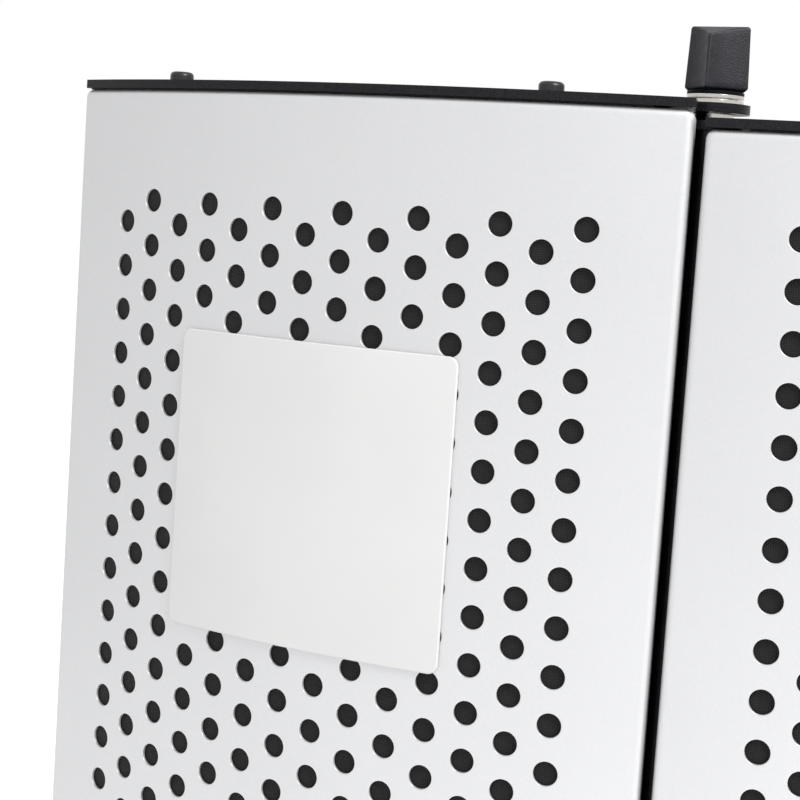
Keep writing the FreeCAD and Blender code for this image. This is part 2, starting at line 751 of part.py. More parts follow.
def hinge():
    post_low = f"({PLAIN_LOW} + {D}plate_thick)"
    post_tall = f"({PLAIN_PLATE_TOP} - {post_low})"
    post_body = cylinder("hinge_post_bar", f"{D}post_radius", post_tall, "0", HINGE_Y, post_low)
    grip = f"({D}stud_grip + 2)"
    bores = [
        cylinder(f"hinge_post_bore_{n}", STUD_BORE, grip, "0", HINGE_Y, low)
        for n, low in enumerate((post_low, f"({PLAIN_PLATE_TOP} - {grip})"))
    ]
    nodes = [cut("hinge_post", post_body, *bores)]

    collar_low = f"({UPPER_FACE} + {WASHER_STACK})"
    stud_low = f"({PLAIN_PLATE_TOP} - {D}stud_grip)"
    stud_top = f"({collar_low} + {D}insert_height - 1)"
    nodes.append(cylinder("upper_hinge_stud", f"{D}stud_radius", f"({stud_top} - {stud_low})",
                          "0", HINGE_Y, stud_low))
    collar_top = f"({BAR_LOW} - {WASHER_STACK})"
    stud_low = f"({collar_top} - {D}insert_height + 1)"
    stud_top = f"({post_low} + {D}stud_grip)"
    nodes.append(cylinder("lower_hinge_stud", f"{D}stud_radius", f"({stud_top} - {stud_low})",
                          "0", HINGE_Y, stud_low))

    for name, low in (
        ("upper_hinge_spacer", f"({PLAIN_PLATE_TOP} + {D}plate_thick)"),
        ("lower_hinge_spacer", f"({BADGE_LOW} + {D}plate_thick)"),
    ):
        nodes.append(tube(name, f"{D}spacer_radius", STUD_BORE, f"{D}spacer_height",
                          "0", HINGE_Y, low))
    nodes.append(tube("friction_disc", f"{D}friction_radius", STUD_BORE, f"{D}friction_thick",
                      "0", HINGE_Y, BAR_TOP))
    nodes += washers("upper_hinge_washers", "0", HINGE_Y, UPPER_FACE)
    nodes += washers("lower_hinge_washers", "0", HINGE_Y, collar_top)
    nodes += knob("upper_knob", "0", HINGE_Y, collar_low)
    nodes += knob("lower_knob", "0", HINGE_Y, collar_top, upward=False)
    return nodes


# ---- Mount ------------------------------------------------------------------------------------

def mount_bar():
    """Flat bar, round about the hinge axis, slotted for the microphone post."""
    body = new_body("mount_bar")
    half = f"{D}bar_width / 2"
    flat = outline(new_sketch(body, "bar_flat", lift=BAR_LOW), [
        (f"-{half}", HINGE_Y), (half, HINGE_Y), (half, f"{D}bar_reach"),
        (f"-{half}", f"{D}bar_reach"),
    ])
    pad(body, flat, f"{D}bar_thick")
    round_end = circles(new_sketch(body, "bar_round_end", lift=BAR_LOW), (half, "0", HINGE_Y))
    pad(body, round_end, f"{D}bar_thick")
    blank = body.Tip
    front = [
        f"Edge{number}"
        for number, edge in enumerate(blank.Shape.Edges, start=1)
        if is_upright(edge) and edge.Vertexes[0].Point.y > size("bar_reach") - 0.01
    ]
    corners = body.newObject("PartDesign::Fillet", "bar_corners")
    corners.Base = (blank, front)
    bind(corners, Radius=f"{D}bar_corner")
    body.Tip = corners
    doc.recompute()
    radius = f"{D}slot_width / 2"
    slot_low, slot_high = f"({D}slot_start + {radius})", f"({D}slot_end - {radius})"
    slot = outline(new_sketch(body, "slot_sides", lift=BAR_TOP), [
        (f"-{radius}", slot_low), (radius, slot_low), (radius, slot_high), (f"-{radius}", slot_high),
    ])
    pocket(body, slot)
    ends = circles(new_sketch(body, "slot_ends", lift=BAR_TOP),
                   (radius, "0", slot_low), (radius, "0", slot_high))
    pocket(body, ends)
    bore = circles(new_sketch(body, "bar_stud_bore", lift=BAR_TOP), (STUD_BORE, "0", HINGE_Y))
    pocket(body, bore)
    screw_holes = circles(
        new_sketch(body, "bar_screw_holes", lift=BAR_TOP),
        *[(f"({D}flange_screw + 0.1)", x, y) for x, y in flange_screw_spots()],
    )
    pocket(body, screw_holes)
    sinks = [
        screw_cone(f"bar_countersink_{n}", x, y, 0.1)
        for n, (x, y) in enumerate(flange_screw_spots())
    ]
    body.Label = "mount_bar_blank"
    return cut("mount_bar_final", body, *sinks)


def flange_screw_spots():
    """Four screws on the flange's pitch circle, at 45 degrees to the bar."""
    arm = f"({D}flange_pcd / 2 * {math.sqrt(0.5):.7f})"
    return [(f"({a} * {arm})", f"({b} * {arm})") for a in (-1, 1) for b in (-1, 1)]


def screw_cone(name, east, north, clearance):
    cone = doc.addObject("Part::Cone", name)
    bind(cone, Radius1=f"({D}flange_screw + {clearance})",
         Radius2=f"(2 * {D}flange_screw + {clearance})", Height=f"{D}flange_screw")
    return place(cone, east, north, f"({BAR_TOP} - {D}flange_screw)")


def stand_socket():
    body = new_body("stand_flange")
    bore = f"({D}adapter_radius + {D}adapter_clear)"
    top, disc_low = f"{D}flange_height", f"({D}flange_height - {D}flange_disc)"
    revolve(body, [
        (bore, "0.6"), (f"({D}socket_radius - 1)", "0.6"), (f"{D}socket_radius", "1.6"),
        (f"{D}socket_radius", f"({disc_low} - 2)"), (f"({D}socket_radius + 2)", disc_low),
        (f"{D}flange_radius", disc_low), (f"{D}flange_radius", top), (bore, top),
    ])
    holes = circles(
        new_sketch(body, "flange_screw_holes", lift=top),
        *[(f"({D}flange_screw + 0.05)", x, y) for x, y in flange_screw_spots()],
    )
    pocket(body, holes)

    adapter = new_body("thread_adapter")
    revolve(adapter, [
        (f"{D}thread_radius", "0"), (f"({D}adapter_radius + 2)", "0"),
        (f"({D}adapter_radius + 2)", "0.5"), (f"{D}adapter_radius", "0.5"),
        (f"{D}adapter_radius", f"{D}adapter_length"), (f"{D}thread_radius", f"{D}adapter_length"),
    ])
    screws = []
    for number, (east, north) in enumerate(flange_screw_spots()):
        shank = cylinder(f"flange_screw_shank_{number}", f"{D}flange_screw", 7.5, east, north,
                         f"({BAR_TOP} - 7.5)")
        head = screw_cone(f"flange_screw_head_{number}", east, north, 0)
        solid = fuse(f"flange_screw_solid_{number}", shank, head)
        drive = hexagon_drive(f"flange_screw_drive_{number}", east, north)
        screws.append(cut(f"flange_screw_{number}", solid, drive))
    return [body, adapter, group("flange_screws", *screws)]


def hexagon_drive(name, east, north):
    obj = doc.addObject("Part::Prism", name)
    obj.Polygon = 6
    obj.Circumradius = 1.4
    obj.Height = 1.6
    return place(obj, east, north, f"({BAR_TOP} - 1.6)")


def mic_post():
    """Post that stands on the bar; its guide runs in the slot and its stud takes a knob."""
    body = new_body("mic_post")
    foot = f"({BAR_TOP} + {D}pad_thick)"
    seat = f"({BAR_LOW} - {D}disc_thick)"
    shoulder = f"({foot} + {D}mic_height)"
    ring_top = f"({shoulder} + {D}ring_height + 0.5)"
    thread_top = f"({ring_top} + {D}mic_thread_length)"
    stud_low = f"({seat} - {D}insert_height + 1)"
    revolve(body, [
        ("0", stud_low), (f"{D}stud_radius", stud_low),
        (f"{D}stud_radius", f"({BAR_LOW} + 0.3)"), (f"{D}mic_guide", f"({BAR_LOW} + 0.3)"),
        (f"{D}mic_guide", foot), (f"{D}mic_flange", foot), (f"{D}mic_flange", f"({foot} + 3)"),
        (f"{D}mic_radius + 1", f"({foot} + 5)"), (f"{D}mic_radius", f"({foot} + 8)"),
        (f"{D}mic_radius", f"({shoulder} - 8)"), (f"{D}mic_radius + 1", f"({shoulder} - 7)"),
        (f"{D}mic_radius + 1", shoulder), (f"{D}mic_neck", shoulder),
        (f"{D}mic_neck", ring_top), (f"{D}mic_thread", ring_top),
        (f"{D}mic_thread", f"({thread_top} - 1)"), (f"{D}mic_thread - 1", thread_top),
        ("0", thread_top),
    ])
    place(body, "0", f"{D}post_place", "0")
    north = f"{D}post_place"
    pad_ring = tube("post_pad", f"({D}mic_flange - 0.5)", f"({D}mic_guide + 0.1)",
                    f"{D}pad_thick", "0", north, BAR_TOP)
    washer = tube("post_washer", f"{D}disc_radius", STUD_BORE, f"{D}disc_thick", "0", north, seat)
    grip, insert = knob("post_knob", "0", north, seat, upward=False)
    ring_outer = cylinder("ring_blank", f"{D}ring_radius", f"{D}ring_height", "0", north, shoulder)
    notches = [
        cylinder(f"ring_notch_{n}", 1.0, f"{D}ring_height",
                 f"({D}ring_radius * {math.cos(math.radians(20 * n)):.6f})",
                 f"({north} + {D}ring_radius * {math.sin(math.radians(20 * n)):.6f})", shoulder)
        for n in range(18)
    ]
    bore = cylinder("ring_bore", f"({D}mic_neck + 0.08)", f"{D}ring_height", "0", north, shoulder)
    ring = cut("lock_ring", ring_outer, bore, *notches)
    return [body, pad_ring, washer, grip, insert, ring]


def end_cap():
    wall = f"{D}cap_wall"
    outer = box("cap_block", f"({D}bar_width + 2 * {wall})", f"({D}cap_reach + {wall})",
                f"({D}bar_thick + 2 * {wall})", f"(-{D}bar_width / 2 - {wall})",
                f"({D}bar_reach - {D}cap_reach)", f"({BAR_LOW} - {wall})")
    doc.recompute()
    front = size("bar_reach") + size("cap_wall")

    def front_corner(edge):
        return is_upright(edge) and abs(edge.Vertexes[0].Point.y - front) < 0.01

    rounded = fillet("cap_rounded", outer, [(front_corner, size("bar_corner") + size("cap_wall"))])
    clear = 0.1
    hollow = box("cap_hollow", f"({D}bar_width + {2 * clear})", f"({D}cap_reach + {clear})",
                 f"({D}bar_thick + {2 * clear})", f"(-{D}bar_width / 2 - {clear})",
                 f"({D}bar_reach - {D}cap_reach)", f"({BAR_LOW} - {clear})")
    doc.recompute()
    inner_front = size("bar_reach") + clear

    def inner_corner(edge):
        return is_upright(edge) and abs(edge.Vertexes[0].Point.y - inner_front) < 0.01

    hollow_rounded = fillet("cap_hollow_rounded", hollow, [(inner_corner, size("bar_corner"))])
    return cut("bar_end_cap", rounded, hollow_rounded)


# ---- Assembly and files -----------------------------------------------------------------------

def build():
    nodes = {}

    def keep(obj, label=None):
        nodes[label or obj.Name] = obj

    for wing in (BADGE, PLAIN):
        keep(shell(wing))
        keep(end_plate(wing, "top_plate", wing.plate_top, wing.shell_top))
        keep(end_plate(wing, "bottom_plate", wing.low, f"({wing.shell_low} - {D}lip_height)"))
        keep(hinge_rail(wing))
        keep(tip_rail(wing))
        for layer in filling(wing):
            keep(layer)
        keep(foam_pad(wing))
        for fasteners in plate_screws(wing):
            keep(fasteners)
    keep(badge())
    for piece in hinge():
        keep(piece)
    keep(mount_bar(), "mount_bar")
    for piece in stand_socket() + mic_post():
        keep(piece)
    keep(end_cap())
    doc.recompute()
    for label, obj in nodes.items():
        obj.Label = label
    return nodes


def check(nodes):
    for obj in doc.Objects:
        if {"Invalid", "Error"} & set(obj.State):
            raise RuntimeError(f"{obj.Label} failed: {obj.State}")
    for label, obj in nodes.items():
        shape = obj.Shape
        if shape.isNull() or not shape.isValid() or not shape.Solids:
            raise RuntimeError(f"{label} has no valid solid")


def write(nodes):
    os.makedirs("parts", exist_ok=True)
    for label, obj in nodes.items():
        obj.Shape.exportStep(os.path.join("parts", f"{label}.step"))
        limits = obj.Shape.BoundBox
        print(
            f"{label:34s} {len(obj.Shape.Solids):2d} solids {obj.Shape.Volume / 1000:9.2f} cm3"
            f"  z {limits.ZMin:7.2f} to {limits.ZMax:7.2f}"
        )


parts = build()
check(parts)
write(parts)
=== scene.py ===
import json
import math

import bmesh
import bpy
from mathutils import Matrix, Vector, noise


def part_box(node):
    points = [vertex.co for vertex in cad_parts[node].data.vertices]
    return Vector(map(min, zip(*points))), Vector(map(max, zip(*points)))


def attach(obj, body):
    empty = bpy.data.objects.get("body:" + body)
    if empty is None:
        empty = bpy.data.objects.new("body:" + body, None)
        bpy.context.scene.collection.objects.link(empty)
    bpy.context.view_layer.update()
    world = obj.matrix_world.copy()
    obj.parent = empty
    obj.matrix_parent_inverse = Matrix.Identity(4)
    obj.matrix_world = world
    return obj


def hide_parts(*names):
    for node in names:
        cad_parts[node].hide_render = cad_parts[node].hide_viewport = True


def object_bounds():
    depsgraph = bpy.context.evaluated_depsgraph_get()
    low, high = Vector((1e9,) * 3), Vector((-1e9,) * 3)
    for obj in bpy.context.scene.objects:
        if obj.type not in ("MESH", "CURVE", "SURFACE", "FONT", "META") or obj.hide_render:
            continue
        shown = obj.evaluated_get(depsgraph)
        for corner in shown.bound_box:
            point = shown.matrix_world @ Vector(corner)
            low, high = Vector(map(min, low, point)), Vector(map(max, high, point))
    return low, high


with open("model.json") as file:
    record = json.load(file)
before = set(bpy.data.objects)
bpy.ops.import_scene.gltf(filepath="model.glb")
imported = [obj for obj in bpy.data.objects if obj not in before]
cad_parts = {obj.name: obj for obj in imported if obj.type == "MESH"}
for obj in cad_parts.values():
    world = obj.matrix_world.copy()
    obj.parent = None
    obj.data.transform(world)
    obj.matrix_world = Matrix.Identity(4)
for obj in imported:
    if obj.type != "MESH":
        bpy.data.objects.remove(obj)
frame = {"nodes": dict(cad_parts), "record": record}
cad_low, cad_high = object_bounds()
scene = bpy.context.scene
nodes = frame["nodes"]

MM = 0.001
ARC_RADIUS = 375 * MM        # outside of the perforated skin
AXIS_DEPTH = 27 * MM         # hinge axis behind the outside
HINGE_Y = -48 * MM
TURN = math.radians(7)       # each wing swung outwards from one common arc
BESIDE = 3.33 * MM           # arc axis beside the hinge axis, before the turn
REACH = ARC_RADIUS - AXIS_DEPTH
ARC_X = BESIDE * math.cos(TURN) + REACH * math.sin(TURN)
ARC_Y = HINGE_Y + REACH * math.cos(TURN) - BESIDE * math.sin(TURN)
WING_GAP = 3.4 * MM
WING_ARC = 245 * MM
SIDES = {"badge_wing": -1, "plain_wing": 1}


# ---- camera ------------------------------------------------------------------------------------

def make_camera():
    data = bpy.data.cameras.new("Camera")
    data.lens = 83.65
    data.sensor_width = 36
    data.clip_start, data.clip_end = 0.02, 50
    camera = bpy.data.objects.new("Camera", data)
    scene.collection.objects.link(camera)
    forward = Vector((-0.2986, 0.9491, -0.1002)).normalized()
    up = Vector((-0.0937, 0.0757, 0.9927))
    up = (up - forward * up.dot(forward)).normalized()
    turn = Matrix((forward.cross(up), up, -forward)).transposed().to_4x4()
    camera.matrix_world = Matrix.Translation((0.0914, -0.6545, 0.2998)) @ turn
    scene.camera = camera


make_camera()


# ---- material nodes ----------------------------------------------------------------------------

class Shader:
    """A Principled material with a few helpers for its node tree."""

    def __init__(self, name, **values):
        self.material = bpy.data.materials.new(name)
        self.material.use_nodes = True
        self.tree = self.material.node_tree
        self.main = next(n for n in self.tree.nodes if n.type == "BSDF_PRINCIPLED")
        for key, value in values.items():
            self.main.inputs[key.replace("_", " ")].default_value = value

    def node(self, kind, inputs=None, **settings):
        made = self.tree.nodes.new(kind)
        for key, value in settings.items():
            setattr(made, key, value)
        for key, value in (inputs or {}).items():
            if isinstance(value, bpy.types.NodeSocket):
                self.tree.links.new(value, made.inputs[key])
            else:
                made.inputs[key].default_value = value
        return made

    def link(self, socket, name):
        self.tree.links.new(socket, self.main.inputs[name])

    def place(self, stretch=(1, 1, 1), source="Object"):
        where = self.node("ShaderNodeTexCoord").outputs[source]
        return self.node("ShaderNodeMapping", {"Vector": where, "Scale": stretch}).outputs[0]

    def noise(self, scale, detail=3.0, rough=0.55, where=None):
        found = where or self.place()
        return self.node("ShaderNodeTexNoise", {
            "Vector": found, "Scale": scale, "Detail": detail, "Roughness": rough,
        }).outputs["Fac"]

    def cells(self, scale, where=None, feature="F1"):
        found = where or self.place()
        return self.node("ShaderNodeTexVoronoi", {"Vector": found, "Scale": scale},
                         feature=feature).outputs["Distance"]

    def spread(self, value, low, high, start=0.3, end=0.7):
        """Remap a pattern to low..high."""
        return self.node("ShaderNodeMapRange", {
            "Value": value, "From Min": start, "From Max": end, "To Min": low, "To Max": high,
        }).outputs[0]

    def math(self, operation, a, b):
        return self.node("ShaderNodeMath", {0: a, 1: b}, operation=operation).outputs[0]

    def colours(self, value, first, second, start=0.3, end=0.7):
        ramp = self.node("ShaderNodeValToRGB", {"Fac": value})
        ramp.color_ramp.elements[0].position = start
        ramp.color_ramp.elements[0].color = (*first, 1)
        ramp.color_ramp.elements[1].position = end
        ramp.color_ramp.elements[1].color = (*second, 1)
        return ramp.outputs["Color"]

    def blend(self, value, first, second):
        """Mix two colour sockets by a value."""
        mix = self.node("ShaderNodeMix", data_type="RGBA")
        self.tree.links.new(value, mix.inputs["Factor"])
        for key, socket in (("A", first), ("B", second)):
            target = next(i for i in mix.inputs if i.name == key and i.type == "RGBA")
            self.tree.links.new(socket, target)
        return next(o for o in mix.outputs if o.type == "RGBA")

    def bump(self, height, strength, distance, rounded=None):
        """Relief from a pattern; rounded softens sharp edges by that radius."""
        values = {"Height": height, "Strength": strength, "Distance": distance}
        if rounded:
            values["Normal"] = self.node("ShaderNodeBevel", {"Radius": rounded}).outputs[0]
        self.link(self.node("ShaderNodeBump", values).outputs[0], "Normal")

    def edge_wear(self, radius, start, end):
        """1 along worn outer edges, 0 elsewhere."""
        smooth = self.node("ShaderNodeBevel", {"Radius": radius}).outputs[0]
        sharp = self.node("ShaderNodeNewGeometry").outputs["Normal"]
        dot = self.node("ShaderNodeVectorMath", {0: smooth, 1: sharp}, operation="DOT_PRODUCT")
        turned = self.math("SUBTRACT", 1.0, dot.outputs["Value"])
        return self.spread(turned, 0, 1, start, end)


def silver_coat():
    """Satin silver paint over steel: fine flake grain, faint clouding, light orange peel."""
    made = Shader("silver_coat", Metallic=0.55, IOR=1.5)
    cloud = made.noise(9, 4)
    flake = made.noise(2600, 2, 0.7)
    base = made.colours(cloud, (0.53, 0.532, 0.54), (0.565, 0.567, 0.575))
    speck = made.colours(flake, (0.47, 0.472, 0.48), (0.63, 0.632, 0.64), 0.25, 0.75)
    fraction = made.spread(made.noise(400, 2), 0.25, 0.45)
    made.link(made.blend(fraction, base, speck), "Base Color")
    made.link(made.spread(made.noise(700, 3), 0.36, 0.44), "Roughness")
    peel = made.noise(1500, 3, 0.6)
    made.bump(peel, 0.10, 0.0002)
    return made.material


def badge_coat():
    """Satin plate under a thin clear coat."""
    made = Shader("badge_coat", Metallic=0.0, Coat_Weight=0.15, Coat_Roughness=0.25)
    cloud = made.noise(14, 3)
    made.link(made.colours(cloud, (0.50, 0.50, 0.498), (0.53, 0.53, 0.528)), "Base Color")
    made.link(made.spread(made.noise(900, 2), 0.38, 0.5), "Roughness")
    made.bump(made.noise(1800, 2), 0.05, 0.0001, rounded=0.0004)
    return made.material


def dark_coat(name, base, light, grain=1100, relief=0.35):
    """Fine-textured powder coat on end plates, rails and the bar."""
    made = Shader(name, Metallic=0.0, Specular_IOR_Level=0.12)
    made.link(made.colours(made.noise(grain, 4, 0.65), base, light, 0.35, 0.75), "Base Color")
    made.link(made.spread(made.noise(60, 4), 0.28, 0.42), "Roughness")
    made.bump(made.noise(grain, 3, 0.6), relief, 0.0003, rounded=0.0004)
    return made.material


def machined(name, base, light, rough, turned=True, metallic=1.0):
    """Turned or plated metal: fine rings about the upright axis, faint stains."""
    made = Shader(name, Metallic=metallic)
    lay = made.place((6, 6, 2200) if turned else (900, 900, 900))
    rings = made.noise(1.0, 4, 0.6, lay)
    stain = made.noise(160, 4)
    made.link(made.blend(stain, made.colours(rings, base, light),
                         made.colours(rings, light, light)), "Base Color")
    made.link(made.spread(rings, rough * 0.75, rough * 1.3), "Roughness")
    made.bump(rings, 0.12, 0.00005, rounded=0.0002)
    return made.material


def threaded_chrome():
    """Plated turning with a cut thread on the microphone's end."""
    made = Shader("chrome_plate", Metallic=1.0)
    stain = made.noise(140, 5, 0.6)
    made.link(made.colours(stain, (0.36, 0.36, 0.37), (0.46, 0.46, 0.47)), "Base Color")
    made.link(made.spread(made.noise(500, 3), 0.10, 0.2), "Roughness")
    height = made.node("ShaderNodeSeparateXYZ", {"Vector": made.place()}).outputs["Z"]
    turns = made.math("SINE", made.math("MULTIPLY", height, math.tau / (0.94 * MM)), 0.0)
    cut = made.math("GREATER_THAN", height, 95.6 * MM)
    lay = made.noise(1.0, 3, 0.6, made.place((8, 8, 1800)))
    relief = made.math("ADD", made.math("MULTIPLY", turns, cut), made.math("MULTIPLY", lay, 0.12))
    made.bump(relief, 0.8, 0.0003, rounded=0.0003)
    return made.material


def grained_plastic():
    """Moulded black plastic with a fine spark-eroded grain and rubbed edges."""
    made = Shader("grained_plastic", Metallic=0.0, Specular_IOR_Level=0.27)
    grain = made.cells(2600)
    fine = made.noise(3500, 2)
    wear = made.edge_wear(0.0007, 0.01, 0.12)
    dark = made.colours(made.noise(120, 3), (0.006, 0.006, 0.009), (0.013, 0.013, 0.018))
    light = made.colours(fine, (0.025, 0.025, 0.030), (0.045, 0.045, 0.052))
    made.link(made.blend(wear, dark, light), "Base Color")
    made.link(made.spread(made.noise(300, 3), 0.40, 0.52), "Roughness")
    made.bump(made.math("ADD", grain, fine), 0.6, 0.00015)
    return made.material


def rubber():
    made = Shader("dark_rubber", Metallic=0.0)
    cloud = made.noise(500, 4)
    made.link(made.colours(cloud, (0.014, 0.014, 0.014), (0.03, 0.03, 0.03)), "Base Color")
    made.link(made.spread(made.noise(200, 3), 0.7, 0.9), "Roughness")
    made.bump(made.noise(1500, 3), 0.3, 0.0002, rounded=0.0003)
    return made.material


def woven_cloth():
    """Fine black grille cloth: over-and-under threads from the piece's own arc and height map."""
    made = Shader("woven_cloth", Metallic=0.0, Sheen_Weight=0.12, Sheen_Roughness=0.5,
                  Specular_IOR_Level=0.2)
    where = made.place((1, 1, 1), "UV")
    waves = []
    for axis in ("X", "Y"):
        waves.append(made.node("ShaderNodeTexWave", {
            "Vector": where, "Scale": 420.0, "Distortion": 0.6, "Detail": 2.0, "Detail Scale": 2.0,
        }, wave_type="BANDS", bands_direction=axis, wave_profile="SIN").outputs["Fac"])
    weave = made.math("MULTIPLY", waves[0], waves[1])
    threads = made.colours(weave, (0.006, 0.006, 0.006), (0.019, 0.019, 0.021), 0.1, 0.8)
    made.link(threads, "Base Color")
    made.link(made.spread(made.noise(300, 3), 0.85, 1.0), "Roughness")
    made.bump(weave, 0.5, 0.0002)
    return made.material


def open_foam():
    """Charcoal open-cell foam: pores in two sizes over a soft mottling, the pores painted darker
    towards their centres as painted shade.
    """
    made = Shader("open_foam", Metallic=0.0, Specular_IOR_Level=0.25, Sheen_Weight=0.15)
    pores = made.cells(900)
    small = made.cells(2100)
    # mask of the painted shade in the pores
    pore_shade_mask = made.spread(pores, 0.0, 1.0, 0.05, 0.55)
    tint = made.colours(made.noise(25, 4), (0.042, 0.042, 0.045), (0.062, 0.062, 0.066))
    # painted shade: colour inside the pores, darkest at their centres
    pore_shade = made.colours(small, (0.010, 0.010, 0.011), (0.085, 0.085, 0.09), 0.05, 0.6)
    made.link(made.blend(pore_shade_mask, pore_shade, tint), "Base Color")
    made.link(made.spread(made.noise(500, 2), 0.85, 1.0), "Roughness")
    height = made.math("ADD", pores, made.math("MULTIPLY", small, 0.5))
    made.bump(height, 0.7, 0.0006)
    return made.material


def felt(name, dark, light):
    made = Shader(name, Metallic=0.0, Sheen_Weight=0.3)
    strands = made.noise(1.0, 6, 0.7, made.place((700, 700, 180)))
    made.link(made.colours(strands, dark, light), "Base Color")
    made.link(made.spread(strands, 0.85, 1.0), "Roughness")
    made.bump(strands, 0.6, 0.0006)
    return made.material


def painted_shade_plastic():
    """The knobs' turned collar and underside: black, smoother, with faint turning rings; its
    near-black colour and weak reflection, darker than the grip's plastic, are painted shade for the
    shadowed underside.
    """
    made = Shader("painted_shade_plastic", Metallic=0.0, Specular_IOR_Level=0.06)
    rings = made.noise(1.0, 3, 0.6, made.place((20, 20, 3000)))
    # painted shade: near-black colour for the shadowed collar and chamfered foot
    made.link(made.colours(rings, (0.002, 0.002, 0.003), (0.006, 0.006, 0.008)), "Base Color")
    made.link(made.spread(made.noise(400, 3), 0.4, 0.55), "Roughness")
    made.bump(rings, 0.2, 0.00005)
    return made.material


LOOKS = {
    "silver_steel": silver_coat(),
    "badge": badge_coat(),
    "dark_plate": dark_coat("plate_coat", (0.006, 0.006, 0.007), (0.014, 0.014, 0.016)),
    "black_rail": dark_coat("rail_coat", (0.010, 0.010, 0.010), (0.02, 0.02, 0.02)),
    "acoustic_cloth": woven_cloth(),
    "fibre_mat": felt("fibre", (0.05, 0.05, 0.05), (0.14, 0.14, 0.135)),
    "backing": machined("mill_sheet", (0.45, 0.45, 0.46), (0.6, 0.6, 0.61), 0.4, turned=False),
    "foam": open_foam(),
    "black_screws": machined("black_oxide", (0.015, 0.015, 0.016), (0.035, 0.035, 0.037), 0.32,
                             turned=False, metallic=0.6),
    "zinc_steel": machined("zinc", (0.5, 0.5, 0.5), (0.66, 0.66, 0.65), 0.3),
    "bright_steel": machined("bright_steel", (0.22, 0.21, 0.19), (0.68, 0.66, 0.62), 0.16),
    "black_post": machined("black_anodised", (0.02, 0.02, 0.022), (0.04, 0.04, 0.043), 0.35),
    "brass": machined("turned_brass", (0.62, 0.44, 0.18), (0.80, 0.60, 0.28), 0.28),
    "black_plastic": grained_plastic(),
    "dark_rubber": rubber(),
    "black_steel": dark_coat("bar_coat", (0.012, 0.012, 0.013), (0.028, 0.028, 0.03), 1600, 0.45),
    "chrome": threaded_chrome(),
}
for part in frame["record"]["subparts"]:
    mesh = nodes[part["node"]].data
    mesh.materials.clear()
    mesh.materials.append(LOOKS[part["material_slot"]])


# ---- mesh helpers ------------------------------------------------------------------------------

def on_arc(side, along, up, depth):
    """Point at an arc length from the arc's start, a height, and a depth behind the outside."""
    angle = along / ARC_RADIUS - TURN
    radius = ARC_RADIUS - depth
    return Vector((side * (ARC_X + radius * math.sin(angle)), ARC_Y - radius * math.cos(angle), up))


def finish_mesh(name, mesh_data, slot, body, stands_for, sharp=35.0):
    """Object from a bmesh: outward faces, smooth but for its sharp edges, riding on its body."""
    bmesh.ops.recalc_face_normals(mesh_data, faces=mesh_data.faces)
    mesh = bpy.data.meshes.new(name)
    mesh_data.to_mesh(mesh)
    mesh_data.free()
    for polygon in mesh.polygons:
        polygon.use_smooth = True
    mesh.set_sharp_from_angle(angle=math.radians(sharp))
    mesh.materials.append(LOOKS[slot])
    piece = bpy.data.objects.new(name, mesh)
    scene.collection.objects.link(piece)
    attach(piece, body)
    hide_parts(*stands_for)
    return piece


def add_face(mesh_data, corners):
    """Face through corners, leaving out repeated ones."""
    kept = []
    for corner in corners:
        if corner not in kept:
            kept.append(corner)
    if len(kept) > 2:
        mesh_data.faces.new(kept)


def join_rings(mesh_data, first, second, closed=True):
    count = len(first)
    for i in range(count if closed else count - 1):
        j = (i + 1) % count
        add_face(mesh_data, (first[i], first[j], second[j], second[i]))


# ---- perforated shells -------------------------------------------------------------------------

PITCH = 16 * MM
COLUMN = 14.1 * MM
HOLE = 8.2 / 2 * MM          # radius
ROWS, COLUMNS = 15, 14
TOP_MARGIN = 39.25 * MM      # from the badge wing's shell top to its upper holes' centres
FOLD = 2.4 * MM
CORNER = 3 * MM
SKIN = 1 * MM
PAN = 14 * MM
FIELD = {"badge_wing": (0.0, 0.0), "plain_wing": (1.85 * MM, 1.5 * MM)}   # holes' shift and lift
CELL_UP, CELL_ACROSS = 8, 4          # divisions of a hole's cell
ROLLED = ((0.8, 0.0), (0.24, 0.0), (0.08, 0.03), (0.0, 0.16))   # hole's rolled rim, mm out and down


def even(start, end, count):
    return [start + (end - start) * i / count for i in range(count + 1)]


